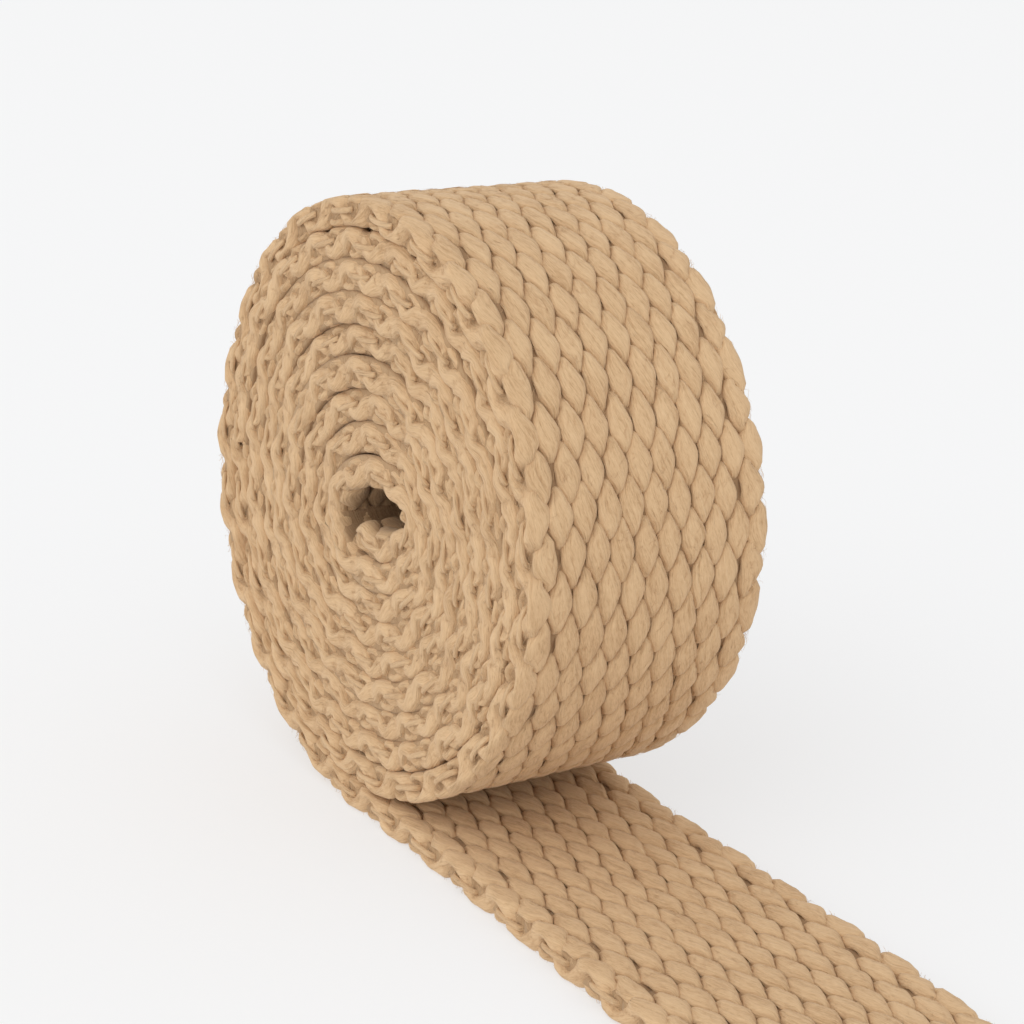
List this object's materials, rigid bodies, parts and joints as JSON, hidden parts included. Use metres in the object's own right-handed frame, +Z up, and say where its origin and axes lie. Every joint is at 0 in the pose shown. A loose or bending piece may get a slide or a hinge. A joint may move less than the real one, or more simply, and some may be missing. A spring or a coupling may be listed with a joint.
{
  "type": "roll of woven cotton webbing",
  "caption": "Coreless coil of flat woven cotton webbing standing on its edge, its loose outer end lying straight on the floor.",
  "frame": {"origin": "on the floor, under the axis of the coil and midway across the strip", "axes": "+Z up; +X along the floor in the direction of the loose outer end; +Y across the strip, along the coil's axis"},
  "size_m": [0.1092, 0.025, 0.0586],
  "materials": {
    "cotton_webbing": "matte undyed tan cotton, heavy plain weave with warp floats on both faces"
  },
  "bodies": {
    "tail_root": {"tail_root": "cotton_webbing"},
    "tail_link_1": {"tail_link_1": "cotton_webbing"},
    "tail_link_2": {"tail_link_2": "cotton_webbing"},
    "tail_link_3": {"tail_link_3": "cotton_webbing"},
    "tail_cut_end": {"tail_cut_end": "cotton_webbing"},
    "outer_lap_link_01": {"outer_lap_link_01": "cotton_webbing"},
    "outer_lap_link_02": {"outer_lap_link_02": "cotton_webbing"},
    "outer_lap_link_03": {"outer_lap_link_03": "cotton_webbing"},
    "outer_lap_link_04": {"outer_lap_link_04": "cotton_webbing"},
    "outer_lap_link_05": {"outer_lap_link_05": "cotton_webbing"},
    "outer_lap_link_06": {"outer_lap_link_06": "cotton_webbing"},
    "outer_lap_link_07": {"outer_lap_link_07": "cotton_webbing"},
    "outer_lap_link_08": {"outer_lap_link_08": "cotton_webbing"},
    "outer_lap_link_09": {"outer_lap_link_09": "cotton_webbing"},
    "outer_lap_link_10": {"outer_lap_link_10": "cotton_webbing"},
    "outer_lap_link_11": {"outer_lap_link_11": "cotton_webbing"},
    "outer_lap_link_12": {"outer_lap_link_12": "cotton_webbing"},
    "outer_lap_front": {"outer_lap_front": "cotton_webbing"},
    "lap_02": {"lap_02": "cotton_webbing"},
    "lap_03": {"lap_03": "cotton_webbing"},
    "lap_04": {"lap_04": "cotton_webbing"},
    "lap_05": {"lap_05": "cotton_webbing"},
    "lap_06": {"lap_06": "cotton_webbing"},
    "lap_07": {"lap_07": "cotton_webbing"},
    "lap_08": {"lap_08": "cotton_webbing"},
    "lap_09": {"lap_09": "cotton_webbing"},
    "inner_end": {"inner_end": "cotton_webbing"}
  },
  "joints": [
    {"name": "tail_curl_1", "type": "hinge", "parent": "tail_root", "child": "tail_link_1", "pos_m": [0.022, 0, 0.0026], "axis": [0, -1, 0], "range_deg": [0, 25]},
    {"name": "tail_curl_2", "type": "hinge", "parent": "tail_link_1", "child": "tail_link_2", "pos_m": [0.0365, 0, 0.0026], "axis": [0, -1, 0], "range_deg": [0, 25]},
    {"name": "tail_curl_3", "type": "hinge", "parent": "tail_link_2", "child": "tail_link_3", "pos_m": [0.051, 0, 0.0026], "axis": [0, -1, 0], "range_deg": [0, 25]},
    {"name": "tail_curl_4", "type": "hinge", "parent": "tail_link_3", "child": "tail_cut_end", "pos_m": [0.0655, 0, 0.0026], "axis": [0, -1, 0], "range_deg": [0, 25]},
    {"name": "unroll_01", "type": "hinge", "parent": "tail_root", "child": "outer_lap_link_01", "pos_m": [-0.00204, 0, 0.00007], "axis": [0, -1, 0], "range_deg": [0, 11.33]},
    {"name": "unroll_02", "type": "hinge", "parent": "outer_lap_link_01", "child": "outer_lap_link_02", "pos_m": [-0.00938, 0, 0.00154], "axis": [0, -1, 0], "range_deg": [0, 14.67]},
    {"name": "unroll_03", "type": "hinge", "parent": "outer_lap_link_02", "child": "outer_lap_link_03", "pos_m": [-0.0161, 0, 0.00482], "axis": [0, -1, 0], "range_deg": [0, 14.67]},
    {"name": "unroll_04", "type": "hinge", "parent": "outer_lap_link_03", "child": "outer_lap_link_04", "pos_m": [-0.02177, 0, 0.00969], "axis": [0, -1, 0], "range_deg": [0, 14.67]},
    {"name": "unroll_05", "type": "hinge", "parent": "outer_lap_link_04", "child": "outer_lap_link_05", "pos_m": [-0.02603, 0, 0.01585], "axis": [0, -1, 0], "range_deg": [0, 14.67]},
    {"name": "unroll_06", "type": "hinge", "parent": "outer_lap_link_05", "child": "outer_lap_link_06", "pos_m": [-0.02859, 0, 0.02288], "axis": [0, -1, 0], "range_deg": [0, 14.67]},
    {"name": "unroll_07", "type": "hinge", "parent": "outer_lap_link_06", "child": "outer_lap_link_07", "pos_m": [-0.02928, 0, 0.03032], "axis": [0, -1, 0], "range_deg": [0, 14.67]},
    {"name": "unroll_08", "type": "hinge", "parent": "outer_lap_link_07", "child": "outer_lap_link_08", "pos_m": [-0.02807, 0, 0.0377], "axis": [0, -1, 0], "range_deg": [0, 14.67]},
    {"name": "unroll_09", "type": "hinge", "parent": "outer_lap_link_08", "child": "outer_lap_link_09", "pos_m": [-0.02503, 0, 0.04454], "axis": [0, -1, 0], "range_deg": [0, 14.67]},
    {"name": "unroll_10", "type": "hinge", "parent": "outer_lap_link_09", "child": "outer_lap_link_10", "pos_m": [-0.02035, 0, 0.05038], "axis": [0, -1, 0], "range_deg": [0, 14.67]},
    {"name": "unroll_11", "type": "hinge", "parent": "outer_lap_link_10", "child": "outer_lap_link_11", "pos_m": [-0.01435, 0, 0.05484], "axis": [0, -1, 0], "range_deg": [0, 14.67]},
    {"name": "unroll_12", "type": "hinge", "parent": "outer_lap_link_11", "child": "outer_lap_link_12", "pos_m": [-0.00742, 0, 0.05765], "axis": [0, -1, 0], "range_deg": [0, 14.67]},
    {"name": "unroll_13", "type": "hinge", "parent": "outer_lap_link_12", "child": "outer_lap_front", "pos_m": [0, 0, 0.0586], "axis": [0, -1, 0], "range_deg": [0, 7.33]},
    {"name": "push_out_lap_02", "type": "slide", "parent": "outer_lap_front", "child": "lap_02", "axis": [0, -1, 0], "range_m": [-0.0015, 0.0015]},
    {"name": "push_out_lap_03", "type": "slide", "parent": "lap_02", "child": "lap_03", "axis": [0, -1, 0], "range_m": [-0.0015, 0.0015]},
    {"name": "push_out_lap_04", "type": "slide", "parent": "lap_03", "child": "lap_04", "axis": [0, -1, 0], "range_m": [-0.0015, 0.0015]},
    {"name": "push_out_lap_05", "type": "slide", "parent": "lap_04", "child": "lap_05", "axis": [0, -1, 0], "range_m": [-0.0015, 0.0015]},
    {"name": "push_out_lap_06", "type": "slide", "parent": "lap_05", "child": "lap_06", "axis": [0, -1, 0], "range_m": [-0.0015, 0.0015]},
    {"name": "push_out_lap_07", "type": "slide", "parent": "lap_06", "child": "lap_07", "axis": [0, -1, 0], "range_m": [-0.0015, 0.0015]},
    {"name": "push_out_lap_08", "type": "slide", "parent": "lap_07", "child": "lap_08", "axis": [0, -1, 0], "range_m": [-0.0015, 0.0015]},
    {"name": "push_out_lap_09", "type": "slide", "parent": "lap_08", "child": "lap_09", "axis": [0, -1, 0], "range_m": [-0.0015, 0.0015]},
    {"name": "inner_end_flex", "type": "hinge", "parent": "lap_09", "child": "inner_end", "pos_m": [0, 0, 0.02825], "axis": [0, 1, 0], "range_deg": [0, 20]}
  ],
  "couplings": [
    {"joint": "unroll_02", "follows": "unroll_01", "ratio": 1.2941},
    {"joint": "unroll_03", "follows": "unroll_01", "ratio": 1.2941},
    {"joint": "unroll_04", "follows": "unroll_01", "ratio": 1.2941},
    {"joint": "unroll_05", "follows": "unroll_01", "ratio": 1.2941},
    {"joint": "unroll_06", "follows": "unroll_01", "ratio": 1.2941},
    {"joint": "unroll_07", "follows": "unroll_01", "ratio": 1.2941},
    {"joint": "unroll_08", "follows": "unroll_01", "ratio": 1.2941},
    {"joint": "unroll_09", "follows": "unroll_01", "ratio": 1.2941},
    {"joint": "unroll_10", "follows": "unroll_01", "ratio": 1.2941},
    {"joint": "unroll_11", "follows": "unroll_01", "ratio": 1.2941},
    {"joint": "unroll_12", "follows": "unroll_01", "ratio": 1.2941},
    {"joint": "unroll_13", "follows": "unroll_01", "ratio": 0.64706},
    {"joint": "push_out_lap_03", "follows": "push_out_lap_02", "ratio": 1},
    {"joint": "push_out_lap_04", "follows": "push_out_lap_02", "ratio": 1},
    {"joint": "push_out_lap_05", "follows": "push_out_lap_02", "ratio": 1},
    {"joint": "push_out_lap_06", "follows": "push_out_lap_02", "ratio": 1},
    {"joint": "push_out_lap_07", "follows": "push_out_lap_02", "ratio": 1},
    {"joint": "push_out_lap_08", "follows": "push_out_lap_02", "ratio": 1},
    {"joint": "push_out_lap_09", "follows": "push_out_lap_02", "ratio": 1}
  ]
}
